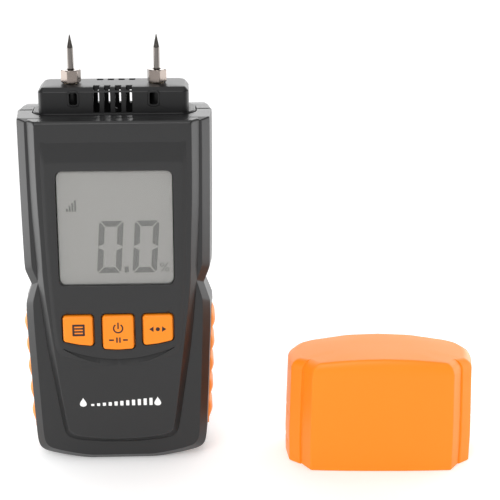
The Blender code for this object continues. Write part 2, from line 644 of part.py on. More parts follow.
# ---- battery door, cells and contacts ----
door_axis = bpy.data.objects.new("door_axis", None)
PARTS.objects.link(door_axis)
door_axis.location = Vector((0.0, BACK_Y, DOOR_BOTTOM_Z + GAP)) * MM
door = rounded_box("battery_door", (-DOOR_HALF_X + GAP, BACK_Y - DOOR_WALL, DOOR_BOTTOM_Z + GAP),
                   (DOOR_HALF_X - GAP, BACK_Y, DOOR_TOP_Z - GAP), 1.8, 1, CASE)
for i, z in enumerate((51.0, 53.0, 55.0)):
    cut(door, box(f"thumb_groove_{i}", (-5.0, BACK_Y - 0.6, z), (5.0, BACK_Y + 1, z + 0.9)))
door.parent = door_axis
door.matrix_parent_inverse = door_axis.matrix_basis.inverted()

for i, x in enumerate((-CELL_X, CELL_X)):
    low, high = CELL_BOTTOM_Z, CELL_BOTTOM_Z + CELL_LENGTH
    profile = [(0, high + 1.2), (1.9, high + 1.2), (1.9, high), (CELL_R - 0.4, high),
               (CELL_R, high - 0.4), (CELL_R, low + 0.4), (CELL_R - 0.4, low), (0, low)]
    if i:
        profile = [(r, low + high - z) for r, z in reversed(profile)]
    turned(f"battery_cell_{i + 1}", profile, (x, CELL_Y, 0.0), CELL, 20)
contact_top = CELL_BOTTOM_Z + CELL_LENGTH + 1.2
box("contact_plate_top", (-11.5, CELL_Y - 4.0, contact_top + 2.0),
    (11.5, CELL_Y + 4.0, contact_top + 2.5), STEEL)
box("contact_plate_bottom", (-11.5, CELL_Y - 4.0, 10.0), (11.5, CELL_Y + 4.0, 10.5), STEEL)


def spring_points(x, low, high, wide, narrow, turns, per_turn=8):
    """Points along a conical coil spring that stands on its wide end."""
    count = int(turns * per_turn)
    points = []
    for i in range(count + 1):
        part = i / count
        radius = wide + (narrow - wide) * part
        turn = 2 * math.pi * turns * part
        points.append((x + radius * math.cos(turn), CELL_Y + radius * math.sin(turn),
                       low + (high - low) * part))
    return points


tube("contact_spring_1", spring_points(-CELL_X, 11.1, CELL_BOTTOM_Z - 0.7, 3.6, 2.2, 3), 0.3, STEEL)
tube("contact_spring_2", spring_points(CELL_X, contact_top + 1.4, CELL_BOTTOM_Z + CELL_LENGTH + 0.7,
                                       3.6, 2.2, 3), 0.3, STEEL)


# ---- cap ----
def cap_outline(taper=0.0):
    """Plan of the cap, centred on its own middle; taper draws the back in."""
    front = -CAP_DEPTH / 2
    back = CAP_DEPTH / 2 - taper
    half = [(0.0, front, 0), (14.0, front + 0.2, 0), (25.4, front + 0.8, 0.8),
            (28.4, front + 5.8, 0), (28.6, front + 6.5, 0), (29.3, front + 6.2, 0),
            (32.9, front + 9.4, 0.8), (CAP_HALF_X, front + 19.0, 0), (33.6, back - 6.0, 4.0),
            (30.8, back - 1.6, 2.0), (27.0, back - 0.4, 0), (13.0, back + taper * 0.2, 0),
            (0.0, back + taper * 0.25, 0)]
    whole = half + [(-x, y, radius) for x, y, radius in reversed(half) if x > 0]
    return rounded([(x, y) for x, y, _ in whole], [radius for _, _, radius in whole], 2)


def cap_ring(z, side=0.0, front=0.0, taper=0.0, crown=0.0):
    """One level of the cap, drawn out at its sides and at its front and back.

    crown lowers the ring towards both sides.
    """
    wide, deep = 1 + side / CAP_HALF_X, 1 + front / (CAP_DEPTH / 2)
    return [(x * wide, y * deep, z - crown * (x / CAP_HALF_X) ** 2) for x, y in cap_outline(taper)]


def cap_rings(bottom_z, wall=0.0, steps=4):
    """Rings from the rim, up the tapering walls and over the round edges into the top."""
    rings = [cap_ring(bottom_z, 0.5 - wall, -wall), cap_ring(20.0, 0.1 - wall, -wall, 3.0)]
    rise = CAP_HEIGHT - CAP_EDGE_Z
    for i in range(steps + 1):
        turn = math.pi / 2 * i / steps
        fold = 1 - math.cos(turn)
        rings.append(cap_ring(CAP_EDGE_Z - wall + rise * math.sin(turn), -0.3 - wall - 4.5 * fold,
                              -wall - 2.0 * fold, 5.0 + 1.4 * i / steps, 2.8 * math.sin(turn)))
    return rings


cap_place = bpy.data.objects.new("cap_place", None)
PARTS.objects.link(cap_place)
cap_place.location = Vector((CAP_X, CAP_FRONT_Y + CAP_DEPTH / 2, 0.0)) * MM
cap_place.rotation_euler.z = math.radians(CAP_TURN_DEG)
cap = loft("cap", cap_rings(0.0), ORANGE)
cap_room = loft("cap_room", cap_rings(-1.0, CAP_WALL))
cut(cap, cap_room)
for i, (z, groove_x) in enumerate(((6.2, 33.5), (18.0, 33.2))):
    for side in (-1, 1):
        groove = loft(f"cap_groove_{i}_{side}", [
            [(side * groove_x, y, z), (side * (groove_x + 2.0), y, z + 1.8),
             (side * (groove_x + 2.0), y, z - 1.8)] for y in (-12.0, 12.0)])
        cut(cap, groove)
        groove.parent = cap_place
cap.parent = cap_place
cap_room.parent = cap_place
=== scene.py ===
"""Looks of the two-pin moisture meter and its cap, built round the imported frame.

Lengths in the drawing helpers are millimetres in the row's frame: +Z up along the meter,
the display faces -Y, and the origin is the middle of the meter's foot.
"""
import math

import bmesh
import bpy
from mathutils import Matrix, Vector


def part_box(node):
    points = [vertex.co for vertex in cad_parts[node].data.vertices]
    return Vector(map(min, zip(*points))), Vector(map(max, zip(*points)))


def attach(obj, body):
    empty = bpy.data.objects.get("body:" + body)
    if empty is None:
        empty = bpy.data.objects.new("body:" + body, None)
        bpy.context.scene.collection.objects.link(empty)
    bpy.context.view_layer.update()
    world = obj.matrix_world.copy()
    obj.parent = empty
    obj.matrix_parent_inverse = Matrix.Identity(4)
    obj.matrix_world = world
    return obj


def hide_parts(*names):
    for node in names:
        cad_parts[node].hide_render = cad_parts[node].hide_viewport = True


MM = 0.001
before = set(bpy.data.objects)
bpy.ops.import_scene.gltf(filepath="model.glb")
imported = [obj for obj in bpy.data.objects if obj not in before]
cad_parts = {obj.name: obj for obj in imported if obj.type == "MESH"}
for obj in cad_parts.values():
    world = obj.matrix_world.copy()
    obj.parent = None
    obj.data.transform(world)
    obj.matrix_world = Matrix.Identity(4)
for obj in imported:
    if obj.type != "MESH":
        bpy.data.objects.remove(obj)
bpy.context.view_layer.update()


def span(node):
    """Lowest and highest corner of a CAD node, in millimetres."""
    low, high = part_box(node)
    return Vector(low) / MM, Vector(high) / MM


# ---- levels read from the frame ----
FRONT_LOW, FRONT_HIGH = span("front_shell")
REAR_LOW, REAR_HIGH = span("rear_shell")
HEAD_LOW, HEAD_HIGH = span("sensor_head")
WINDOW_LOW, WINDOW_HIGH = span("lcd_window")
DOOR_LOW, DOOR_HIGH = span("battery_door")
NEEDLE_LOW, NEEDLE_HIGH = span("needle_right")
NUT_LOW, NUT_HIGH = span("hex_nut_right")

SHOULDER_Z = FRONT_HIGH.z
SEAM_GAP = REAR_LOW.y - FRONT_HIGH.y
ZONE_Y = FRONT_LOW.y
BACK_Y = REAR_HIGH.y
SEAM_Y = (NEEDLE_LOW.y + NEEDLE_HIGH.y) / 2
PIN_X = (NEEDLE_LOW.x + NEEDLE_HIGH.x) / 2

# ---- relief of the case, forwards and backwards of the seam ----
PANEL_Y = ZONE_Y + 0.75
LEDGE_Y = ZONE_Y + 4.25
EDGE_Y = ZONE_Y + 7.25
PANEL_BACK_Y = ZONE_Y + 2.6
FOOT_FRONT_Y = -8.5
FOOT_BACK_Y = 10.0
BACK_CURVE_Y = 11.2
BACK_EDGE_Y = 15.3
FRONT_WALL = 2.6
CAVITY_TOP_Z = SHOULDER_Z - 2.2
CASE_HALF_X = 34.1
NOTCH_Z = 66.7               # height of the waist's V
NOTCH_REACH = 16.0           # how far up and down the V leans forward and back
NOTCH_SLOPE = 0.17           # rise of the V for each millimetre towards the front
NOTCH_LEVEL_Y = -2.6         # depth where it stands at its own height


# ---- mesh helpers ----
def add_object(name, mesh):
    made = bpy.data.objects.new(name, mesh)
    bpy.context.scene.collection.objects.link(made)
    return made


def mesh_from(name, rows):
    """Closed mesh through rows of equally many points (millimetres), each row a closed ring."""
    work = bmesh.new()
    layers = [[work.verts.new(Vector(point) * MM) for point in row] for row in rows]
    count = len(layers[0])
    for low, high in zip(layers, layers[1:]):
        for i in range(count):
            j = (i + 1) % count
            work.faces.new((low[i], low[j], high[j], high[i]))
    work.faces.new(layers[0][::-1])
    work.faces.new(layers[-1])
    bmesh.ops.recalc_face_normals(work, faces=work.faces)
    data = bpy.data.meshes.new(name)
    work.to_mesh(data)
    work.free()
    return data


def loft(name, rows):
    return add_object(name, mesh_from(name, rows))


def soften(rows, reaches, steps=3):
    """Round the edge at chosen rows: reaches gives {row index: length taken from each side}."""
    out = [rows[0]]
    for i in range(1, len(rows) - 1):
        if i not in reaches:
            out.append(rows[i])
            continue
        for step in range(steps + 1):
            t = step / steps
            row = []
            for before, here, after in zip(rows[i - 1], rows[i], rows[i + 1]):
                here = Vector(here)
                back, ahead = Vector(before) - here, Vector(after) - here
                start = here + back * min(0.45, reaches[i] / max(back.length, 1e-6))
                end = here + ahead * min(0.45, reaches[i] / max(ahead.length, 1e-6))
                row.append(start * (1 - t) ** 2 + here * 2 * t * (1 - t) + end * t * t)
            out.append(row)
    out.append(rows[-1])
    return out


def eased(points, rounds=2):
    """Cut the corners of an open polyline, keeping its two ends."""
    for _ in range(rounds):
        cut = [points[0]]
        for (x0, z0), (x1, z1) in zip(points, points[1:]):
            cut.append((x0 * 0.75 + x1 * 0.25, z0 * 0.75 + z1 * 0.25))
            cut.append((x0 * 0.25 + x1 * 0.75, z0 * 0.25 + z1 * 0.75))
        cut.append(points[-1])
        points = cut
    return points


def mirrored(right_half):
    """Close an outline whose right half runs from the bottom centre to the top centre."""
    return right_half + [(-x, z) for x, z in reversed(right_half) if x > 1e-6]


def rounded(points, radii, steps=6):
    """Round the corners of a flat closed outline."""
    outline = []
    count = len(points)
    for i in range(count):
        corner = Vector(points[i])
        before = (Vector(points[i - 1]) - corner).normalized()
        after = (Vector(points[(i + 1) % count]) - corner).normalized()
        if radii[i] == 0:
            outline.append(tuple(corner))
            continue
        half_angle = before.angle(after) / 2
        reach = radii[i] / math.tan(half_angle)
        centre = corner + (before + after).normalized() * radii[i] / math.sin(half_angle)
        start = corner + before * reach - centre
        sweep = start.angle_signed(corner + after * reach - centre)
        for step in range(steps + 1):
            turn = -sweep * step / steps
            outline.append((centre.x + start.x * math.cos(turn) - start.y * math.sin(turn),
                            centre.y + start.x * math.sin(turn) + start.y * math.cos(turn)))
    return outline


def rectangle(u0, u1, v0, v1, radius, steps=6):
    return rounded([(u0, v0), (u1, v0), (u1, v1), (u0, v1)], [radius] * 4, steps)


def inset(outline, distance):
    """Move every edge of a flat outline inwards."""
    moved = []
    count = len(outline)
    area = sum(outline[i - 1][0] * outline[i][1] - outline[i][0] * outline[i - 1][1]
               for i in range(count))
    side = 1 if area > 0 else -1
    for i in range(count):
        here = Vector(outline[i])
        back = (here - Vector(outline[i - 1])).normalized()
        ahead = (Vector(outline[(i + 1) % count]) - here).normalized()
        normal_back = Vector((-back.y, back.x)) * side
        normal_ahead = Vector((-ahead.y, ahead.x)) * side
        bisector = (normal_back + normal_ahead).normalized()
        moved.append(tuple(here + bisector * distance / max(0.3, bisector.dot(normal_back))))
    return moved


def at_y(outline, y):
    """Stand an (x, z) outline up at one depth."""
    return [(x, y, z) for x, z in outline]


def at_z(outline, z):
    """Lay an (x, y) outline down at one height."""
    return [(x, y, z) for x, y in outline]


def flared(outline, stand, face, floor, lip=0.3):
    """Rows of a cutter from outside a face at one depth to its floor, with a rounded lip."""
    way = 1 if floor > face else -1
    return [stand(inset(outline, -lip * 1.6), face - way * 1.0), stand(inset(outline, -lip), face),
            stand(inset(outline, -lip * 0.4), face + way * lip * 0.35),
            stand(inset(outline, -lip * 0.1), face + way * lip * 0.7),
            stand(outline, face + way * lip * 1.2), stand(outline, floor)]


def box(name, low, high):
    """Plain cutter between two corners."""
    return loft(name, [at_z(rectangle(low[0], high[0], low[1], high[1], 0, 0), z)
                       for z in (low[2], high[2])])


def turned(name, profile, place, steps=48, along="Z"):
    """Turn a (radius, height) profile, from its top to its bottom, about a line through place."""
    rows = []
    for radius, height in profile:
        row = []
        for i in range(steps):
            turn = 2 * math.pi * i / steps
            u, v = max(radius, 0.002) * math.cos(turn), max(radius, 0.002) * math.sin(turn)
            local = (u, v, height) if along == "Z" else (u, height, v)
            row.append(Vector(place) + Vector(local))
        rows.append(row)
    return loft(name, rows)


def merged(objects):
    """Join separate cutters into one object."""
    whole = bmesh.new()
    for item in objects:
        whole.from_mesh(item.data)
    data = bpy.data.meshes.new("cutter")
    whole.to_mesh(data)
    whole.free()
    for item in objects:
        bpy.data.objects.remove(item)
    return add_object("cutter", data)


def split_large_faces(obj):
    """Split faces of more than four corners, which are never quite flat, into triangles."""
    work = bmesh.new()
    work.from_mesh(obj.data)
    bmesh.ops.triangulate(work, faces=[face for face in work.faces if len(face.verts) > 4])
    work.to_mesh(obj.data)
    work.free()


def combine(target, operation, *others):
    """Cut the others from the target, or join them on; the others are used up."""
    tool = merged(others) if len(others) > 1 else others[0]
    split_large_faces(target)
    split_large_faces(tool)
    step = target.modifiers.new("combine", "BOOLEAN")
    step.operation = operation
    step.object = tool
    step.solver = "EXACT"
    bpy.context.view_layer.update()
    seen = target.evaluated_get(bpy.context.evaluated_depsgraph_get())
    result = bpy.data.meshes.new_from_object(seen)
    target.modifiers.clear()
    target.data = result
    bpy.data.objects.remove(tool)


def cut(target, *others):
    combine(target, "DIFFERENCE", *others)


def join(target, *others):
    for other in others:
        combine(target, "UNION", other)


def finished(obj, look, body, *replaced, angle=34):
    """Shade a piece, give it its material and body, and let it stand for CAD nodes."""
    mesh = obj.data
    mesh.materials.clear()
    mesh.materials.append(look)
    mesh.polygons.foreach_set("material_index", [0] * len(mesh.polygons))
    mesh.shade_smooth()
    mesh.set_sharp_from_angle(angle=math.radians(angle))
    weigh = obj.modifiers.new("even shading", "WEIGHTED_NORMAL")
    weigh.keep_sharp = True
    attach(obj, body)
    if replaced:
        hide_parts(*replaced)
    return obj


# ---- materials ----
def tone(colour, factor):
    return (*[min(1.0, channel * factor) for channel in colour], 1.0)


def surface(name, colour, roughness, grain=0.4, depth=0.01, spread=0.05, blotch=12.0,
            stretch=(1.0, 1.0, 1.0), **sockets):
    """Procedural finish: cloudy tone, uneven gloss and a fine grain.

    grain and blotch are feature sizes in millimetres, depth is the grain's height.
    """
    made = bpy.data.materials.new(name)
    made.use_nodes = True
    nodes, links = made.node_tree.nodes, made.node_tree.links
    shader = nodes["Principled BSDF"]
    for socket, value in sockets.items():
        shader.inputs[socket.replace("_", " ")].default_value = value
    place = nodes.new("ShaderNodeTexCoord")
    scaled = nodes.new("ShaderNodeMapping")
    scaled.inputs["Scale"].default_value = stretch
    links.new(place.outputs["Object"], scaled.inputs["Vector"])

    def noise(size, detail):
        made_noise = nodes.new("ShaderNodeTexNoise")
        made_noise.inputs["Scale"].default_value = 1.0 / (size * MM)
        made_noise.inputs["Detail"].default_value = detail
        links.new(scaled.outputs["Vector"], made_noise.inputs["Vector"])
        return made_noise.outputs["Fac"]

    clouds = noise(blotch, 4.0)
    fine = noise(grain, 2.0)
    mix = nodes.new("ShaderNodeMix")
    mix.data_type = "RGBA"
    mix.inputs["A"].default_value = tone(colour, 1 - spread)
    mix.inputs["B"].default_value = tone(colour, 1 + spread)
    links.new(clouds, mix.inputs["Factor"])
    links.new(mix.outputs["Result"], shader.inputs["Base Color"])
    gloss = nodes.new("ShaderNodeMapRange")
    gloss.inputs["To Min"].default_value = roughness * 0.88
    gloss.inputs["To Max"].default_value = roughness * 1.12
    links.new(fine, gloss.inputs["Value"])
    links.new(gloss.outputs["Result"], shader.inputs["Roughness"])
    bump = nodes.new("ShaderNodeBump")
    bump.inputs["Distance"].default_value = depth * MM
    bump.inputs["Strength"].default_value = 0.6
    links.new(fine, bump.inputs["Height"])
    links.new(bump.outputs["Normal"], shader.inputs["Normal"])
    return made


CASE = surface("case_plastic", (0.015, 0.015, 0.0155), 0.34, 0.30, 0.005, 0.06, IOR=1.46)
HEAD = surface("head_plastic", (0.006, 0.006, 0.0065), 0.38, 0.25, 0.003, 0.05, IOR=1.42)
KEY = surface("key_orange", (1.0, 0.265, 0.010), 0.34, 0.30, 0.004, 0.02, IOR=1.38)
CAP = surface("cap_orange", (1.0, 0.265, 0.009), 0.42, 0.35, 0.006, 0.02, 20.0, IOR=1.38)
# Grip orange, paler than the keys and cap: partly the grip's own tone, partly painted sheen standing in for
# light washing over the ribs.
GRIP = surface("grip_orange_painted_sheen", (1.0, 0.30, 0.035), 0.45, 0.25, 0.01, 0.03)
STEEL = surface("bright_steel", (0.17, 0.155, 0.145), 0.14, 0.05, 0.001, 0.04,
                stretch=(0.2, 0.2, 1.0), Metallic=1.0)
NICKEL = surface("nickel", (0.24, 0.205, 0.185), 0.2, 0.2, 0.002, 0.05, Metallic=1.0)
ZINC = surface("zinc_plate", (0.60, 0.60, 0.60), 0.3, 0.3, 0.004, 0.08, Metallic=1.0)
BRASS = surface("turned_brass", (0.80, 0.58, 0.25), 0.25, 0.06, 0.002, 0.06,
                stretch=(0.2, 0.2, 1.0), Metallic=1.0)
COPPER = surface("tinned_wire", (0.78, 0.55, 0.42), 0.3, 0.15, 0.004, 0.08, Metallic=1.0)
GLASS = surface("lcd_panel", (0.245, 0.238, 0.226), 0.4, 2.0, 0.0, 0.02, 18.0)
LENS = surface("clear_window", (0.80, 0.82, 0.80), 0.12, 4.0, 0.0, 0.01, Alpha=0.06)
SEGMENT = surface("lcd_segment", (0.075, 0.073, 0.068), 0.4, 2.0, 0.0002, 0.02)
PRINT_DARK = surface("dark_print", (0.020, 0.005, 0.004), 0.5, 0.10, 0.002, 0.12, 1.5)
PRINT_WHITE = surface("white_print", (0.93, 0.93, 0.92), 0.5, 0.10, 0.002, 0.03, 1.5)
BLACK = surface("black_plastic", (0.020, 0.020, 0.021), 0.4, 0.2, 0.004, 0.08)
RUBBER = surface("elastomer", (0.03, 0.03, 0.032), 0.7, 0.15, 0.006, 0.08)
WHITE = surface("white_plastic", (0.72, 0.72, 0.70), 0.45, 0.3, 0.004, 0.03)
BOARD = surface("solder_mask", (0.012, 0.115, 0.045), 0.3, 0.8, 0.02, 0.35, 1.6,
                stretch=(1.0, 1.0, 0.25))
CELL = surface("cell_wrap", (0.05, 0.07, 0.12), 0.28, 0.2, 0.002, 0.25, 9.0,
               stretch=(0.1, 0.1, 1.0))

# ---- outlines of the case, seen from the front as (x, z); right halves ----
CASE_SIDE = [(0.0, 0.0), (9.0, 0.0), (12.0, 0.0), (15.0, 0.3), (18.0, 0.75), (23.0, 1.7), (27.0, 2.7),
             (29.4, 3.5), (31.0, 4.9), (31.75, 7.2), (32.05, 10.5), (32.3, 15.5), (32.9, 29.0),
             (33.4, 43.0), (33.8, 53.0), (33.8, 59.8), (33.45, 61.2), (31.7, 66.0), (31.45, NOTCH_Z),
             (31.65, 67.4), (33.35, 71.9), (33.7, 73.4), (33.8, 78.0), (34.0, 96.0),
             (CASE_HALF_X, 113.0), (CASE_HALF_X, 124.0), (CASE_HALF_X, SHOULDER_Z - 0.7),
             (CASE_HALF_X - 0.2, SHOULDER_Z), (CASE_HALF_X - 1.2, SHOULDER_Z),
             (0.0, SHOULDER_Z)]
PANEL_FOOT = [(0.0, 7.6), (5.2, 7.7), (10.4, 8.05), (15.5, 8.6), (19.0, 9.6), (20.6, 11.5),
              (21.3, 15.0), (23.3, 28.5), (26.1, 47.0), (28.1, 69.0), (28.8, 84.0), (29.4, 100.0),
              (29.5, SHOULDER_Z - 2.0), (29.5, SHOULDER_Z), (27.5, SHOULDER_Z), (0.0, SHOULDER_Z)]
PANEL_EDGE = [(0.0, 10.6), (5.0, 10.7), (10.0, 11.1), (15.0, 11.8), (17.6, 12.8), (18.9, 14.4),
              (19.4, 17.0), (21.2, 29.5), (23.3, 48.0), (25.8, 69.0), (26.0, 84.0), (26.7, 102.0),
              (26.7, SHOULDER_Z - 2.0), (26.7, SHOULDER_Z), (25.5, SHOULDER_Z), (0.0, SHOULDER_Z)]
ZONE_FOOT = [(0.0, 39.5), (4.1, 39.6), (8.2, 40.1), (12.4, 40.8), (16.5, 41.9), (20.6, 43.2),
             (22.2, 45.2), (23.0, 50.0), (24.6, 80.0), (25.1, 112.0), (25.1, 120.4), (24.4, 121.0),
             (0.0, 121.0)]
ZONE_EDGE = [(0.0, 41.8), (3.9, 41.95), (7.8, 42.5), (11.8, 43.3), (15.7, 44.5), (19.6, 46.0),
             (20.9, 47.6), (21.6, 51.0), (23.3, 80.0), (23.7, 110.0), (23.7, 113.5), (23.0, 114.1),
             (0.0, 114.1)]


def case_ring(y, distance, lift, top_drop=0.0, top=SHOULDER_Z):
    """The case's silhouette at one depth, drawn in at the sides and lifted off the floor."""
    ring = []
    lean = NOTCH_SLOPE * (NOTCH_LEVEL_Y - min(y, SEAM_Y))
    for x, z in mirrored(eased(CASE_SIDE)):
        share = z / SHOULDER_Z
        leaned = z + lean * max(0.0, 1 - abs(z - NOTCH_Z) / NOTCH_REACH)
        height = min(leaned + lift * (1 - share) - top_drop * share ** 40, top)
        ring.append((x * (CASE_HALF_X - distance) / CASE_HALF_X, y, height))
    return ring


def relief_ring(side, y, distance=0.0, top_drop=0.0, top=SHOULDER_Z):
    """One outline of the raised relief at one depth, drawn in evenly by a distance."""
    ring = []
    half_x = max(x for x, _ in side)
    low, high = side[0][1], side[-1][1]
    for x, z in mirrored(eased(side)):
        share = (z - low) / (high - low)
        height = min(z + distance * (1 - share) - top_drop * share ** 40, top)
        ring.append((x * (half_x - distance) / half_x, y, height))
    return ring


def between(first, second, share):
    """Ring part of the way from one ring to another."""
    return [Vector(a).lerp(Vector(b), share) for a, b in zip(first, second)]


CRESCENT_HALF_X = 19.8
CRESCENT_TOP_Z = 41.9        # its upper edge in the middle
CRESCENT_ARC = 0.0107        # rise of that edge with the square of x
CRESCENT_HEIGHT = 2.7
CRESCENT_DEPTH = 0.62
CRESCENT_STEPS = 24


def crescent():
    """Cutter of the thumb scoop under the keys: deep at its sharp upper edge, running out downwards."""
    rows = []
    for i in range(-CRESCENT_STEPS, CRESCENT_STEPS + 1):
        x = CRESCENT_HALF_X * i / CRESCENT_STEPS
        full = 1.06 - (x / CRESCENT_HALF_X) ** 2
        top = CRESCENT_TOP_Z + CRESCENT_ARC * x * x
        low = top - CRESCENT_HEIGHT * full
        rows.append([(x, ZONE_Y - 1.0, top), (x, PANEL_Y + CRESCENT_DEPTH * full, top - 0.06 * full),
                     (x, PANEL_Y - 0.03, low), (x, ZONE_Y - 1.0, low)])
    return loft("crescent", rows)


# ---- front shell ----
front = loft("case_front", soften(
    [case_ring(LEDGE_Y, 5.4, 3.2, 1.6), case_ring(LEDGE_Y, 3.8, 2.45, 0.5),
     case_ring(EDGE_Y, 0.95, 0.05), case_ring(FOOT_FRONT_Y, 0.8, 0.0),
     case_ring(SEAM_Y - SEAM_GAP / 2 - 0.3, 0.0, 0.0),
     case_ring(SEAM_Y - SEAM_GAP / 2, 0.3, 0.3, 0.25)],
    {1: 0.15, 2: 0.18}))
join(front,
     loft("panel", soften(
         [relief_ring(PANEL_EDGE, PANEL_Y, 1.5, 2.4), relief_ring(PANEL_EDGE, PANEL_Y, 0.0, 0.7),
          between(relief_ring(PANEL_EDGE, PANEL_Y), relief_ring(PANEL_FOOT, LEDGE_Y), 0.2),
          relief_ring(PANEL_FOOT, LEDGE_Y), relief_ring(PANEL_FOOT, LEDGE_Y + 1.5)],
         {1: 0.3, 2: 0.3, 3: 0.08})),
     loft("zone", soften(
         [relief_ring(ZONE_EDGE, ZONE_Y, 1.5, 1.5), relief_ring(ZONE_EDGE, ZONE_Y),
          relief_ring(ZONE_FOOT, PANEL_Y), relief_ring(ZONE_FOOT, PANEL_Y + 0.6)],
         {1: 0.6, 2: 0.1})))
cut(front,
    loft("front_cavity", [case_ring(EDGE_Y - 1.0, FRONT_WALL + 0.6, FRONT_WALL + 0.6, 0, CAVITY_TOP_Z),
                          case_ring(0.2, FRONT_WALL, FRONT_WALL, 0, CAVITY_TOP_Z),
                          case_ring(SEAM_Y + 1.0, FRONT_WALL, FRONT_WALL, 0, CAVITY_TOP_Z)]))
cut(front,
    loft("panel_cavity", [relief_ring(PANEL_EDGE, PANEL_BACK_Y, 1.6, 0, CAVITY_TOP_Z - 0.1),
                          relief_ring(PANEL_EDGE, EDGE_Y, 1.2, 0, CAVITY_TOP_Z - 0.1)]))

cut(front, crescent())

# ---- rear shell ----
rear = loft("case_rear", soften(
    [case_ring(SEAM_Y + SEAM_GAP / 2, 0.3, 0.3, 0.25), case_ring(SEAM_Y + SEAM_GAP / 2 + 0.3, 0.0, 0.0),
     case_ring(FOOT_BACK_Y, 0.9, 0.0), case_ring(BACK_CURVE_Y, 1.1, 0.6),
     case_ring(BACK_EDGE_Y, 2.1, 2.9, 0.2), case_ring(BACK_Y, 4.4, 5.2, 1.2),
     case_ring(BACK_Y, 6.4, 7.0, 2.6)],
    {3: 0.9, 4: 0.8, 5: 0.5}))
cut(rear,
    loft("rear_cavity", [case_ring(SEAM_Y - 1.0, FRONT_WALL, FRONT_WALL, 0, CAVITY_TOP_Z),
                         case_ring(BACK_CURVE_Y, FRONT_WALL + 0.8, FRONT_WALL + 0.8, 0, CAVITY_TOP_Z),
                         case_ring(BACK_Y - 2.0, 5.6, 5.6, 0, CAVITY_TOP_Z)]))
DOOR_GAP = 0.3
DOOR_HALF_X = DOOR_HIGH.x + DOOR_GAP
DOOR_BOTTOM_Z = DOOR_LOW.z - DOOR_GAP
DOOR_TOP_Z = DOOR_HIGH.z + DOOR_GAP
DOOR_WALL = DOOR_HIGH.y - DOOR_LOW.y
join(rear, box("cell_box", (-DOOR_HALF_X - 0.6, 1.2, 7.7), (DOOR_HALF_X + 0.6, BACK_Y - 0.9,
                                                            DOOR_TOP_Z + 1.4)))
cut(rear, box("cell_room", (-DOOR_HALF_X + 1.2, 2.8, DOOR_BOTTOM_Z + 0.2),
              (DOOR_HALF_X - 1.2, BACK_Y + 1.3, DOOR_TOP_Z - 0.2)))
cut(rear, loft("door_seat", flared(rectangle(-DOOR_HALF_X, DOOR_HALF_X, DOOR_BOTTOM_Z, DOOR_TOP_Z, 2.0),
                                   at_y, BACK_Y, BACK_Y - DOOR_WALL - DOOR_GAP, 0.2)))

# ---- what is cut across both halves ----
MOUTH_HALF_X = 28.4
MOUTH_HALF_Y = 9.3


def mouth_outline(grow):
    """Plan of the head's round-ended base."""
    half_x, half_y = MOUTH_HALF_X + grow, MOUTH_HALF_Y + grow
    return rectangle(-half_x, half_x, SEAM_Y - half_y, SEAM_Y + half_y, 6.5 + grow, 10)


GRIP_LOW, GRIP_HIGH = span("grip_right")
GRIP_MARGIN = 0.3
GRIP_FRONT_Y = GRIP_LOW.y - GRIP_MARGIN
GRIP_BACK_Y = GRIP_HIGH.y + GRIP_MARGIN
GRIP_BOTTOM_Z = GRIP_LOW.z - GRIP_MARGIN
GRIP_TOP_Z = GRIP_HIGH.z + GRIP_MARGIN
GRIP_RECESS_X = 32.25
GRIP_SLOPE = 0.034           # the recess floor draws in by this much a millimetre downwards


def grip_floor(z):
    return GRIP_RECESS_X - GRIP_SLOPE * (GRIP_TOP_Z - z)


def cutters_across():
    """The head's mouth in the shoulder and the two grip recesses."""
    made = [loft("mouth", flared(mouth_outline(0.3), at_z, SHOULDER_Z, SHOULDER_Z - 5.0, 0.2))]
    corners = rectangle(GRIP_FRONT_Y, GRIP_BACK_Y, GRIP_BOTTOM_Z, GRIP_TOP_Z, 0.25, 3)
    for side in (-1, 1):
        made.append(loft("recess", [[(side * grip_floor(z), y, z) for y, z in corners],
                                    [(side * 36.0, y, z) for y, z in corners]]))
    return made


cut(front, *cutters_across())
cut(rear, *cutters_across())

# ---- display opening and key holes ----
LCD_GAP = 0.3
window_outline = rectangle(WINDOW_LOW.x, WINDOW_HIGH.x, WINDOW_LOW.z, WINDOW_HIGH.z, 2.2)
openings = [loft("lcd_opening", flared(inset(window_outline, -LCD_GAP), at_y, ZONE_Y,
                                       PANEL_BACK_Y + 1, 0.22))]
KEYS = {"mode": "key_mode", "power": "key_power", "set": "key_set"}
KEY_TOP_Z = 58.6
KEY_GAP = 0.42
KEY_LOW_Z = 46.7             # lower edge of the arc under the keys, in the middle
KEY_ARC = 0.0061             # rise of that arc with the square of x
POWER_KEY_DROP = 0.9         # the middle key reaches this much lower
KEY_CORNER_R = 1.1
KEY_FLANGE = 0.9             # how far a key's flange reaches behind the panel


def key_outline(left, right):
    """Front outline of a key, whose lower edge follows the arc under the keys."""
    def lower(x):
        drop = POWER_KEY_DROP if left < 0 < right else 0.0
        return KEY_LOW_Z + KEY_ARC * x * x - drop
    middle = (left + right) / 2
    points = [(left, lower(left)), (middle, lower(middle) - 0.15), (right, lower(right)),
              (right, KEY_TOP_Z), (left, KEY_TOP_Z)]
    return rounded(points, [KEY_CORNER_R, 0, KEY_CORNER_R, KEY_CORNER_R, KEY_CORNER_R], 6)


key_outlines = {}
for label, node in KEYS.items():
    low, high = span(node)
    key_outlines[label] = key_outline(low.x + KEY_FLANGE, high.x - KEY_FLANGE)
    openings.append(loft("key_hole", flared(inset(key_outlines[label], -KEY_GAP), at_y, ZONE_Y,
                                            PANEL_BACK_Y + 1, 0.25)))
cut(front, *openings)
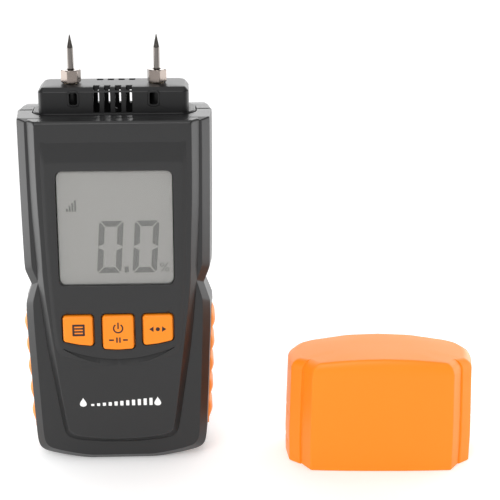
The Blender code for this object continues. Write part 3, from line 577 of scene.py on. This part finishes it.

# ---- holes for the case screws ----
CASE_SCREWS = ["case_screw_top_left", "case_screw_top_right",
               "case_screw_bottom_left", "case_screw_bottom_right"]
holes = []
for node in CASE_SCREWS:
    low, high = span(node)
    spot = ((low.x + high.x) / 2, 0.0, (low.z + high.z) / 2)
    holes.append(turned("hole", [(3.0, BACK_Y + 1.0), (2.9, BACK_Y), (2.6, BACK_Y - 0.3),
                                 (2.4, BACK_Y - 0.7), (2.4, 9.6)], spot, 40, "Y"))
cut(rear, *holes)
finished(front, CASE, "meter", "front_shell")
finished(rear, CASE, "meter", "rear_shell")

# ---- sensor head ----
HEAD_HALF_X = 26.1
HEAD_HALF_Y = 8.75
HEAD_WALL = 1.5
HEAD_FACE_Y = SEAM_Y - HEAD_HALF_Y
HEAD_TOP_Z = HEAD_HIGH.z
HEAD_SLOPE = 1.6             # height of the sloped band under the head's top


def head_outline(grow, rear_radius=4.0, front_radius=2.3, rear_grow=None):
    """Plan of the head; its back may move less than its front and sides."""
    half_x, half_y = HEAD_HALF_X + grow, HEAD_HALF_Y + grow
    back_y = SEAM_Y + HEAD_HALF_Y + (grow if rear_grow is None else rear_grow)
    corners = [(-half_x, SEAM_Y - half_y), (half_x, SEAM_Y - half_y), (half_x, back_y), (-half_x, back_y)]
    radii = [front_radius + grow, front_radius + grow, rear_radius + grow, rear_radius + grow]
    return rounded(corners, [max(0.3, radius) for radius in radii], 8)


head = loft("head_cover", soften(
    [at_z(head_outline(0.0), SHOULDER_Z - 1.5), at_z(head_outline(0.0), HEAD_TOP_Z - HEAD_SLOPE),
     at_z(head_outline(-1.35, rear_grow=-0.15), HEAD_TOP_Z - 0.22),
     at_z(head_outline(-2.4, 4.0, 4.0, rear_grow=-0.7), HEAD_TOP_Z - 0.06),
     at_z(head_outline(-5.5, 6.5, 6.5, rear_grow=-3.0), HEAD_TOP_Z)], {1: 0.22, 2: 0.3}))
join(head, loft("head_base", soften(
    [at_z(mouth_outline(0.0), HEAD_LOW.z), at_z(mouth_outline(0.0), SHOULDER_Z + 0.1),
     at_z(mouth_outline(-0.4), SHOULDER_Z + 0.5), at_z(mouth_outline(-1.6), SHOULDER_Z + 0.5)],
    {2: 0.2})))
cut(head, loft("head_room", [at_z(head_outline(-HEAD_WALL, 3.7, 3.4), SHOULDER_Z - 6.0),
                             at_z(head_outline(-HEAD_WALL, 3.7, 3.4), HEAD_TOP_Z - 1.6)]))
POST_BOTTOM_Z = span("electrode_post_left")[0].z
BOSS_R = 4.2
BORE_R = 2.8
for side in (-1, 1):
    spot = (side * PIN_X, SEAM_Y, 0.0)
    join(head, turned("boss", [(BOSS_R, HEAD_TOP_Z - 0.83), (BOSS_R, POST_BOTTOM_Z + 1.03)], spot))
    cut(head, turned("bore", [(BORE_R, HEAD_TOP_Z + 1), (BORE_R, POST_BOTTOM_Z - 1.0)], spot, 44))
POCKET_HALF_X = 1.4
POCKET_BOTTOM_Z = 131.6
BEAD_PROFILE = [(0.82, 0.4), (0.78, 0.0), (0.62, -0.2), (0.36, -0.28), (0.12, -0.22)]
SLOT_PITCH = 3.77
SLOT_WIDTH = 2.06
SLOT_LIP = 0.12              # width of the broken edge round each slot
SLOT_MIDDLE_X = -0.25
SLOT_EDGE_Z = HEAD_TOP_Z - 1.75
REAR_SLOT_SHIFT = 0.7        # the rear row of slots stands this much to the right
for face, shift, bottom in ((-1, 0.0, SHOULDER_Z + 0.62), (1, REAR_SLOT_SHIFT, SHOULDER_Z + 1.1)):
    outside = SEAM_Y + face * HEAD_HALF_Y
    for i in range(4):
        x = SLOT_MIDDLE_X + (i - 1.5) * SLOT_PITCH + shift
        left, right = x - SLOT_WIDTH / 2, x + SLOT_WIDTH / 2
        cut(head, loft("slot", [
            at_y(rectangle(left - lip, right + lip, bottom - lip - fall, SLOT_EDGE_Z, 0.3, 4),
                 outside - face * depth)
            for depth, lip, fall in ((-1.0, SLOT_LIP, 0.0), (0.0, SLOT_LIP, 0.0), (0.15, 0.0, 0.0),
                                     (2.0, 0.0, 0.5))]))
        near, far = SEAM_Y + face * (HEAD_HALF_Y - 0.45), SEAM_Y + face * (HEAD_HALF_Y - 4.0)
        flat = rectangle(left, right, min(near, far), max(near, far), 0.3, 4)
        cut(head, loft("slot_top", [at_z(inset(flat, -SLOT_LIP), HEAD_TOP_Z + 1.0),
                                    at_z(inset(flat, -SLOT_LIP), HEAD_TOP_Z - 0.02),
                                    at_z(flat, HEAD_TOP_Z - 0.2), at_z(flat, SLOT_EDGE_Z - 0.15)]))
for side in (-1, 1):
    pocket_x = side * (PIN_X - 1.1)
    outline = rectangle(pocket_x - POCKET_HALF_X, pocket_x + POCKET_HALF_X,
                        POCKET_BOTTOM_Z, SLOT_EDGE_Z - 0.1, 0.7, 5)
    cut(head, loft("pocket", [at_y(outline, HEAD_FACE_Y + depth) for depth in (-1.0, 2.0)]))
    bead = loft("bead", [at_y(inset(outline, -grow), HEAD_FACE_Y + depth) for grow, depth in BEAD_PROFILE])
    cut(bead, loft("bead_hole", [at_y(inset(outline, -0.02), HEAD_FACE_Y + depth) for depth in (-1.0, 1.0)]))
    join(head, bead)
finished(head, HEAD, "meter", "sensor_head")

# ---- pins and nuts ----
NUT_TURN = {-1: math.radians(42), 1: math.radians(13)}
NUT_FLATS = 6.2
PIN_R = (NEEDLE_HIGH.x - NEEDLE_LOW.x) / 2
for side, tag in ((-1, "left"), (1, "right")):
    spot = (side * PIN_X, SEAM_Y, 0.0)
    top = NEEDLE_HIGH.z
    pin = turned(f"pin_{tag}", [(0, top), (0.12, top - 0.05), (0.2, top - 0.4), (0.55, top - 2.1),
                                (PIN_R - 0.08, top - 4.4), (PIN_R, top - 4.8), (PIN_R, NEEDLE_LOW.z),
                                (0, NEEDLE_LOW.z)], spot, 40)
    finished(pin, STEEL, "meter", f"needle_{tag}", angle=50)
    corner = NUT_FLATS / math.sqrt(3)
    rows = []
    for height, limit in ((NUT_LOW.z, NUT_FLATS / 2 + 0.05), (NUT_LOW.z + 0.28, corner),
                          (NUT_HIGH.z - 0.28, corner), (NUT_HIGH.z, NUT_FLATS / 2 + 0.05)):
        row = []
        for i in range(72):
            turn = 2 * math.pi * i / 72
            face = (turn + math.pi / 6) % (math.pi / 3) - math.pi / 6
            reach = min(NUT_FLATS / 2 / math.cos(face), corner - 0.06, limit)
            row.append((spot[0] + reach * math.cos(turn + NUT_TURN[side]),
                        spot[1] + reach * math.sin(turn + NUT_TURN[side]), height))
        rows.append(row)
    nut = loft(f"nut_{tag}", rows)
    cut(nut, turned("nut_bore", [(PIN_R + 0.5, NUT_HIGH.z + 0.2), (PIN_R + 0.3, NUT_HIGH.z - 0.2),
                                 (PIN_R + 0.3, NUT_LOW.z - 1)], spot, 40))
    finished(nut, NICKEL, "meter", f"hex_nut_{tag}", angle=20)

# ---- display ----
lens_face = WINDOW_LOW.y
window = loft("display_window", soften(
    [at_y(inset(window_outline, 0.5), lens_face), at_y(window_outline, lens_face),
     at_y(window_outline, WINDOW_HIGH.y)], {1: 0.12}))
finished(window, LENS, "meter", "lcd_window")
LCD_LOW, LCD_HIGH = span("lcd_glass")
panel = loft("display_panel", [at_y(window_outline, LCD_LOW.y), at_y(window_outline, LCD_HIGH.y)])
finished(panel, GLASS, "meter", "lcd_glass")


def plates(name, outlines, y, thick, look, body):
    """Thin flat shapes lying on a face that looks forwards."""
    whole = merged([loft("plate", [at_y(outline, y - thick), at_y(outline, y)]) for outline in outlines])
    whole.name = name
    return finished(whole, look, body)


DIGIT_H = 19.0
DIGIT_W = 8.5
STROKE = 2.25
SEGMENT_GAP = 0.22
DIGIT_LEAN = 0.068


def digit_zero(left, bottom):
    """The six lit segments of a leaning seven-segment nought."""
    middle = DIGIT_H / 2
    s, g = STROKE, SEGMENT_GAP
    flat = [[(g + 0.35, 0), (DIGIT_W - g - 0.35, 0), (DIGIT_W - s - g / 2, s - g), (s + g / 2, s - g)]]
    upright = [(0, g + 0.7), (0.45, g + 0.3), (s - g, s + g / 2), (s - g, middle - s / 2 - g / 2),
               (0, middle - g)]
    flat.append([(x, DIGIT_H - z) for x, z in reversed(flat[0])])
    sides = [upright, [(x, DIGIT_H - z) for x, z in reversed(upright)]]
    sides += [[(DIGIT_W - x, z) for x, z in reversed(side)] for side in list(sides)]
    return [[(left + x + DIGIT_LEAN * z, bottom + z) for x, z in shape] for shape in flat + sides]


def disc(x, z, radius, steps=20):
    return [(x + radius * math.cos(2 * math.pi * i / steps), z + radius * math.sin(2 * math.pi * i / steps))
            for i in range(steps)]


def bar(x0, z0, x1, z1, width):
    """A straight stroke between two points."""
    along = Vector((x1 - x0, z1 - z0)).normalized() * 0.5 * width
    return [(x0 + along.y, z0 - along.x), (x1 + along.y, z1 - along.x),
            (x1 - along.y, z1 + along.x), (x0 - along.y, z0 + along.x)]


def arc_band(x, z, radius, width, start, end, steps=24):
    """Part of a ring between two angles in degrees."""
    inner, outer = [], []
    for i in range(steps + 1):
        turn = math.radians(start + (end - start) * i / steps)
        inner.append((x + (radius - width / 2) * math.cos(turn), z + (radius - width / 2) * math.sin(turn)))
        outer.append((x + (radius + width / 2) * math.cos(turn), z + (radius + width / 2) * math.sin(turn)))
    return inner + outer[::-1]


DIGIT_Z = 73.8
lit = digit_zero(-6.9, DIGIT_Z) + digit_zero(5.5, DIGIT_Z)
lit.append(rectangle(2.75, 4.25, DIGIT_Z + 0.1, DIGIT_Z + 2.3, 0.2, 3))
lit += [bar(15.6, 74.0, 18.0, 77.4, 0.35), arc_band(15.9, 76.6, 0.6, 0.32, 0, 359),
        arc_band(17.7, 74.8, 0.6, 0.32, 0, 359)]
# A small bar gauge marks the chosen scale, top left.
for i in range(4):
    lit.append(rectangle(-16.9 + i * 0.95, -16.25 + i * 0.95, 96.3, 97.4 + i * 1.0, 0.08, 2))
plates("display_segments", lit, LCD_LOW.y - 0.03, 0.05, SEGMENT, "meter")

# ---- keys ----
KEY_FACE_Y = span("key_power")[0].y
for label, node in KEYS.items():
    outline = key_outlines[label]
    key = loft(f"{label}_key", soften(
        [at_y(inset(outline, 1.0), KEY_FACE_Y), at_y(inset(outline, 0.42), KEY_FACE_Y),
         at_y(outline, KEY_FACE_Y + 0.5), at_y(outline, PANEL_BACK_Y + 1)], {1: 0.2, 2: 0.25}))
    join(key, loft("key_flange", [at_y(inset(outline, -KEY_FLANGE), y)
                                  for y in (PANEL_BACK_Y + 0.3, span(node)[1].y)]))
    finished(key, KEY, node, node)

PRINT = 0.03
power_x, power_z = 0.0, 54.0
plates("power_print",
       [arc_band(power_x, power_z - 0.1, 1.6, 0.52, 125, 415),
        bar(power_x, power_z - 0.3, power_x, power_z + 2.1, 0.5),
        rectangle(-0.8, -0.25, 48.5, 50.5, 0.1, 2), rectangle(0.25, 0.8, 48.5, 50.5, 0.1, 2),
        rectangle(-3.3, -1.6, 49.2, 49.8, 0.1, 2), rectangle(1.6, 3.3, 49.2, 49.8, 0.1, 2)],
       KEY_FACE_Y, PRINT, PRINT_DARK, "key_power")
badge_x, badge_z = -13.95, 53.4
BADGE_HALF = 2.2
BADGE_BAR_PITCH = 1.15
badge = loft("badge", [at_y(rectangle(badge_x - BADGE_HALF, badge_x + BADGE_HALF,
                                      badge_z - BADGE_HALF, badge_z + BADGE_HALF, 0.15, 3), y)
                       for y in (KEY_FACE_Y - PRINT, KEY_FACE_Y)])
stripes = []
for rise in (BADGE_BAR_PITCH, 0.0, -BADGE_BAR_PITCH):
    stripe = rectangle(badge_x - 1.5, badge_x + 1.5, badge_z + rise - 0.27, badge_z + rise + 0.27, 0.1, 2)
    stripes.append(loft("stripe", [at_y(stripe, y) for y in (KEY_FACE_Y - 1, KEY_FACE_Y + 1)]))
cut(badge, *stripes)
badge.name = "mode_print"
finished(badge, PRINT_DARK, "key_mode")
set_x, set_z = 14.0, 53.4
plates("set_print",
       [[(set_x - 3.0, set_z), (set_x - 1.5, set_z - 1.05), (set_x - 1.5, set_z + 1.05)],
        disc(set_x, set_z, 0.75),
        [(set_x + 3.0, set_z), (set_x + 1.5, set_z + 1.05), (set_x + 1.5, set_z - 1.05)]],
       KEY_FACE_Y, PRINT, PRINT_DARK, "key_set")

# ---- scale print on the panel: a drop, then rising bars ----
LABEL_X, LABEL_Z = 14.6, 24.9
DROP_SIZE = 3.4


def drop_outline(x, z, size):
    """A water drop."""
    points = []
    for i in range(32):
        turn = 2 * math.pi * i / 32
        pinch = math.sin(turn / 2) ** 1.6
        points.append((x + size * 0.52 * math.sin(turn) * pinch, z + size * 0.5 * math.cos(turn)))
    return points


scale_marks = [drop_outline(-LABEL_X + 1.2, LABEL_Z + 0.1, DROP_SIZE)]
BARS = 11
BAR_PITCH = 2.1
BAR_WIDTH = 1.15
BAR_STEP = 0.2               # each bar stands this much taller than the last
for i in range(BARS):
    x = -LABEL_X + 4.0 + i * BAR_PITCH
    scale_marks.append(rectangle(x, x + BAR_WIDTH, LABEL_Z - 1.4, LABEL_Z - 0.6 + i * BAR_STEP, 0.15, 2))
scale_marks.append(drop_outline(LABEL_X - 1.2, LABEL_Z + 0.1, DROP_SIZE))
plates("scale_print", scale_marks, PANEL_Y, PRINT, PRINT_WHITE, "meter")

# ---- grips ----
RIB_Z = [16.1, 24.9, 33.6, 42.2, 51.0]
RIB_REACH = 3.45
RIB_HEIGHT = 1.25
RIB_STEPS = (-1, -0.97, -0.88, -0.7, -0.45, -0.2, 0, 0.2, 0.45, 0.7, 0.88, 0.97, 1)


def rib_height(z):
    """How far a grip stands out at one height."""
    for middle in RIB_Z:
        if abs(z - middle) < RIB_REACH:
            return RIB_HEIGHT * (1 - ((z - middle) / RIB_REACH) ** 2) ** 0.8
    return 0.0


levels = [GRIP_LOW.z]
for middle in RIB_Z:
    levels += [middle + RIB_REACH * t for t in RIB_STEPS]
levels.append(GRIP_HIGH.z)
for side, tag in ((-1, "left"), (1, "right")):
    rows = []
    for z in levels:
        floor = grip_floor(z) + 0.3
        face, top = floor + 1.05, floor + 1.05 + rib_height(z)
        y0, y1 = GRIP_LOW.y, GRIP_HIGH.y
        profile = [(floor, y0), (face - 0.25, y0), (face, y0 + 0.2)]
        for t in (0.04, 0.1, 0.2, 0.35, 0.5, 0.65, 0.8, 0.9, 0.96):
            swell = min(1.0, math.sin(math.pi * t) * 1.9) ** 0.7
            profile.append((face + (top - face) * swell, y0 + (y1 - y0) * t))
        profile += [(face, y1 - 0.2), (face - 0.25, y1), (floor, y1)]
        rows.append([(side * x, y, z) for x, y in profile])
    finished(loft(f"side_grip_{tag}", rows), GRIP, "meter", f"grip_{tag}", angle=50)

# ---- battery door ----
door_outline = rectangle(DOOR_LOW.x, DOOR_HIGH.x, DOOR_LOW.z, DOOR_HIGH.z, 1.8)
door = loft("door_cover", soften(
    [at_y(door_outline, DOOR_LOW.y), at_y(door_outline, DOOR_HIGH.y),
     at_y(inset(door_outline, 1.0), DOOR_HIGH.y)], {1: 0.25}))
cut(door, *[loft("thumb_groove", flared(rectangle(-5.0, 5.0, z, z + 0.9, 0.4, 4), at_y, BACK_Y,
                                        BACK_Y - 0.6, 0.15)) for z in (51.0, 53.0, 55.0)])
cut(door, loft("thumb_arrow", flared([(-1.6, 49.2), (1.6, 49.2), (0.0, 47.2)], at_y, BACK_Y,
                                     BACK_Y - 0.3, 0.08)))
finished(door, CASE, "battery_door", "battery_door")

# ---- screws in the back ----
for node in CASE_SCREWS:
    low, high = span(node)
    spot = ((low.x + high.x) / 2, 0.0, (low.z + high.z) / 2)
    screw = turned(f"{node}_head", [(0, 12.0), (0.8, 11.97), (1.45, 11.8), (1.9, 11.35), (2.05, 10.9),
                                    (2.05, 9.95), (1.0, 9.95), (1.0, low.y + 0.8), (0, low.y)],
                   spot, 40, "Y")
    x, _, z = spot
    cross = box("slot_a", (x - 1.15, 11.1, z - 0.24), (x + 1.15, 12.5, z + 0.24))
    join(cross, box("slot_b", (x - 0.24, 11.09, z - 1.15), (x + 0.24, 12.51, z + 1.15)))
    cut(screw, cross)
    finished(screw, ZINC, "meter", node)

# ---- cap ----
CAP_TURN_DEG = -2.5
CAP_CENTRE = Vector((94.6, -10.0, 0.0))
CAP_DEPTH = 33.5
CAP_HEIGHT = 43.0
CAP_EDGE_Z = 36.5            # where the walls start to round over into the top
CAP_WALL = 1.8
CAP_HALF_X = 34.1


def cap_outline(taper=0.0):
    """Plan of the cap round its own middle; taper draws the back in."""
    front = -CAP_DEPTH / 2
    back = CAP_DEPTH / 2 - taper
    half = [(0.0, front, 0), (7.0, front + 0.05, 0), (14.0, front + 0.2, 0), (20.0, front + 0.45, 0),
            (25.4, front + 0.8, 0.9), (28.4, front + 5.8, 0.3), (28.6, front + 6.5, 0.15),
            (29.3, front + 6.2, 0.4), (32.9, front + 9.4, 1.2), (CAP_HALF_X - 0.1, front + 19.0, 20.0),
            (33.6, back - 6.0, 5.0), (30.8, back - 1.6, 2.5), (27.0, back - 0.4, 6.0),
            (13.0, back + taper * 0.2, 40.0), (0.0, back + taper * 0.25, 0)]
    whole = half + [(-x, y, radius) for x, y, radius in reversed(half) if x > 0]
    return rounded([(x, y) for x, y, _ in whole], [radius for _, _, radius in whole], 5)


def cap_ring(z, side=0.0, front=0.0, taper=0.0, crown=0.0):
    """One level of the cap, drawn out at its sides and its front; crown lowers it at the sides."""
    wide, deep = 1 + side / CAP_HALF_X, 1 + front / (CAP_DEPTH / 2)
    return [(x * wide, y * deep, z - crown * (x / CAP_HALF_X) ** 2) for x, y in cap_outline(taper)]


def cap_rings(bottom_z, wall=0.0, steps=14):
    """Rings from the rim, up the tapering walls and over the round edges into the top."""
    rings = [cap_ring(bottom_z, -0.25 - wall, -wall - 0.4), cap_ring(bottom_z + 0.4, 0.1 - wall, -wall)]
    rings += [cap_ring(10.0, 0.3 - wall, -wall, 1.5), cap_ring(20.0, 0.1 - wall, -wall, 3.0),
              cap_ring(28.0, -0.12 - wall, -wall, 4.1)]
    rise = CAP_HEIGHT - CAP_EDGE_Z
    for i in range(steps + 1):
        turn = math.pi / 2 * i / steps
        fold = 1 - math.cos(turn)
        rings.append(cap_ring(CAP_EDGE_Z - wall + rise * math.sin(turn), -0.3 - wall - 4.5 * fold,
                              -wall - 2.0 * fold, 5.0 + 1.4 * i / steps, 2.8 * math.sin(turn)))
    for share in (0.7, 0.4, 0.1):
        top = [(x * share, y * share, CAP_HEIGHT - wall - 2.8 * (x * share / CAP_HALF_X) ** 2)
               for x, y, _ in cap_ring(0, -4.8 - wall, -2.0 - wall, 6.4)]
        rings.append(top)
    return rings


cap = loft("pull_off_cap", cap_rings(0.0))
cut(cap, loft("cap_room", cap_rings(-1.0, CAP_WALL)))
grooves = []
for z, groove_x in ((6.2, 33.1), (18.0, 32.9)):
    for side in (-1, 1):
        section = [(groove_x, 0.0), (groove_x + 0.35, 0.8), (groove_x + 2.0, 2.2), (groove_x + 2.0, -2.2),
                   (groove_x + 0.35, -0.8)]
        grooves.append(loft("groove", [[(side * x, y, z + rise) for x, rise in section]
                                       for y in (-12.0, 12.0)]))
cut(cap, *grooves)
cap.data.transform(Matrix.Translation(CAP_CENTRE * MM) @ Matrix.Rotation(math.radians(CAP_TURN_DEG), 4, "Z"))
finished(cap, CAP, "cap", "cap", angle=40)

# ---- finishes of the pieces that keep their CAD mesh ----
CAD_LOOKS = {
    "lcd_frame": WHITE, "lcd_connector": RUBBER, "main_board": BOARD, "chip_cover": BLACK,
    "buzzer": BLACK, "temperature_sensor": BLACK, "battery_cell_1": CELL, "battery_cell_2": CELL,
    "contact_plate_top": ZINC, "contact_plate_bottom": ZINC, "contact_spring_1": ZINC,
    "contact_spring_2": ZINC, "board_screw_left": ZINC, "board_screw_right": ZINC,
    "electrode_post_left": BRASS, "electrode_post_right": BRASS,
    "electrode_lead_left": COPPER, "electrode_lead_right": COPPER}
for label in KEYS:
    CAD_LOOKS[f"tact_switch_{label}"] = BLACK
    CAD_LOOKS[f"plunger_{label}"] = RUBBER
for node, look in CAD_LOOKS.items():
    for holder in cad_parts[node].material_slots:
        holder.material = look

# ---- floor, light and camera ----
FLOOR = surface("pale_floor", (0.90, 0.90, 0.90), 0.9, 2.0, 0.002, 0.004, 300.0)
glow = FLOOR.node_tree.nodes["Principled BSDF"]
glow.inputs["Emission Color"].default_value = (1.0, 1.0, 1.0, 1.0)
glow.inputs["Emission Strength"].default_value = 0.25
bpy.ops.mesh.primitive_plane_add(size=8.0, location=(0.0, 1.5, 0.0))
floor = bpy.context.object
floor.name = "floor"
floor.data.materials.append(FLOOR)


def softbox(name, place, target, size_x, size_y, power):
    """A large soft light that looks at a target; the camera doesn't see it."""
    data = bpy.data.lights.new(name, "AREA")
    data.shape = "RECTANGLE"
    data.size = size_x
    data.size_y = size_y
    data.energy = power
    made = bpy.data.objects.new(name, data)
    bpy.context.scene.collection.objects.link(made)
    made.location = place
    made.rotation_euler = (Vector(target) - Vector(place)).to_track_quat("-Z", "Y").to_euler()
    made.visible_camera = False


AIM = (0.03, 0.0, 0.06)
softbox("key", (-0.25, -1.05, 0.85), AIM, 0.9, 0.7, 9.8)
softbox("back", (0.0, 2.1, 0.75), AIM, 4.5, 1.5, 44.0)
softbox("top", (0.03, -0.1, 1.15), AIM, 1.2, 1.0, 3.0)
softbox("left", (-0.24, 0.07, 0.075), (0.0, 0.0, 0.075), 0.32, 0.15, 0.36)
softbox("right", (0.30, 0.09, 0.075), (0.03, 0.0, 0.075), 0.34, 0.15, 0.34)

world = bpy.data.worlds.new("studio")
world.use_nodes = True
world.node_tree.nodes["Background"].inputs["Color"].default_value = (1.0, 1.0, 1.0, 1.0)
world.node_tree.nodes["Background"].inputs["Strength"].default_value = 0.35
bpy.context.scene.world = world
bpy.context.scene.view_settings.view_transform = "Standard"

CAMERA_PLACE = (0.02507, -0.49735, 0.23442)
CAMERA_DOWN_DEG = 17.605
CAMERA_TURN_DEG = -2.587
LENS_MM = 103.68
lens = bpy.data.cameras.new("camera")
lens.sensor_width = 36.0
lens.lens = LENS_MM
lens.clip_start = 0.01
camera = bpy.data.objects.new("camera", lens)
bpy.context.scene.collection.objects.link(camera)
camera.location = CAMERA_PLACE
camera.rotation_euler = (math.radians(90 - CAMERA_DOWN_DEG), 0.0, math.radians(CAMERA_TURN_DEG))
bpy.context.scene.camera = camera
